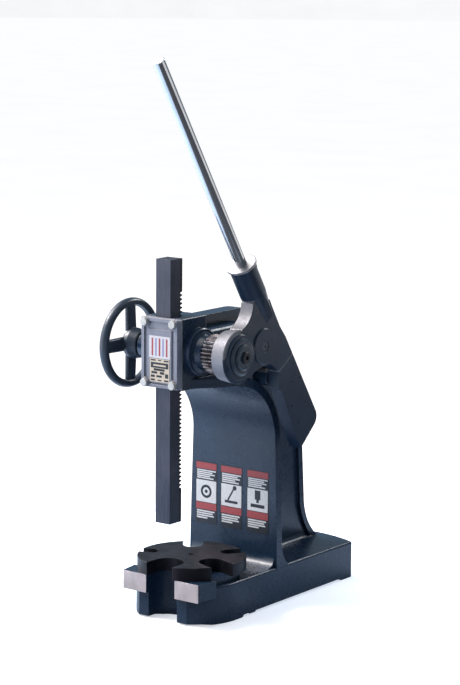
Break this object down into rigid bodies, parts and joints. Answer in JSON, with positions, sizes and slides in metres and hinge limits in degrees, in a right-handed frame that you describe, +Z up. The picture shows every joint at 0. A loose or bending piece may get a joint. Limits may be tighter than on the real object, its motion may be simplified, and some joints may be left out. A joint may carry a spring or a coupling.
{
  "type": "ratchet arbor press",
  "caption": "Bench arbor press with a rack ram, slotted turning platen, handwheel and a counterweighted ratchet lever on a C-shaped cast frame.",
  "frame": {"origin": "on the turning axis of the platen, at floor level under the base", "axes": "+Z up along the ram, +X to the right of the operator (lever side), -Y towards the operator"},
  "size_m": [0.3625, 0.884, 1.3626],
  "materials": {
    "frame_paint": "semi-gloss enamel over cast iron",
    "cover_paint": "grey satin enamel over cast iron",
    "wheel_paint": "gloss dark enamel",
    "hub_paint": "semi-gloss enamel",
    "lever_paint": "semi-gloss enamel over cast iron",
    "bare_steel": "turned",
    "zinc_steel": "zinc plated",
    "ratchet_steel": "machined, lightly oiled",
    "ram_steel": "ground, blued",
    "platen_iron": "machined and oiled",
    "polished_rod": "polished bar",
    "bronze": "bearing bronze",
    "black_screw": "black oxide",
    "striped_print": "printed badge",
    "data_print": "printed data plate",
    "label_print": "printed label"
  },
  "bodies": {
    "frame": {"frame_casting": "frame_paint", "face_plate": "cover_paint", "face_plate_shims": "zinc_steel", "face_plate_bolts": "zinc_steel", "striped_badge": "striped_print", "data_badge": "data_print", "label_left": "label_print", "label_middle": "label_print", "label_right": "label_print", "left_bush": "bronze", "right_bush": "bronze", "platen_pin": "bare_steel"},
    "platen": {"platen": "platen_iron"},
    "ram": {"ram": "ram_steel"},
    "shaft": {"pinion_shaft": "bare_steel", "handwheel": "wheel_paint", "handwheel_key": "bare_steel", "handwheel_set_screw": "black_screw", "ratchet_wheel": "ratchet_steel", "ratchet_key": "bare_steel", "end_washer": "hub_paint", "end_collar": "hub_paint", "end_screw": "black_screw"},
    "lever": {"yoke": "lever_paint", "yoke_bush": "bronze", "counterweight": "lever_paint", "counterweight_studs": "bare_steel", "lever_rod": "polished_rod", "lever_collar": "bare_steel", "lever_set_screw": "black_screw", "pawl_pin": "hub_paint", "pawl_ring": "bare_steel"},
    "pawl": {"pawl": "ratchet_steel"}
  },
  "joints": [
    {"name": "ram_slide", "type": "slide", "parent": "frame", "child": "ram", "axis": [0, 0, 1], "range_m": [-0.09775, 0.29791]},
    {"name": "shaft_turn", "type": "hinge", "parent": "frame", "child": "shaft", "pos_m": [0, -0.05242, 0.656], "axis": [1, 0, 0], "range_deg": [-770, 255]},
    {"name": "lever_swing", "type": "hinge", "parent": "frame", "child": "lever", "pos_m": [0.16, -0.05242, 0.656], "axis": [1, 0, 0], "range_deg": [0, 96]},
    {"name": "pawl_engage", "type": "hinge", "parent": "lever", "child": "pawl", "pos_m": [0.12, 0.04287, 0.669], "axis": [1, 0, 0], "range_deg": [0, 7]},
    {"name": "platen_turn", "type": "hinge", "parent": "frame", "child": "platen", "pos_m": [0, 0, 0.125], "axis": [0, 0, 1], "continuous": true}
  ],
  "couplings": [
    {"joint": "shaft_turn", "follows": "ram_slide", "rad_per_m": -44.994}
  ]
}
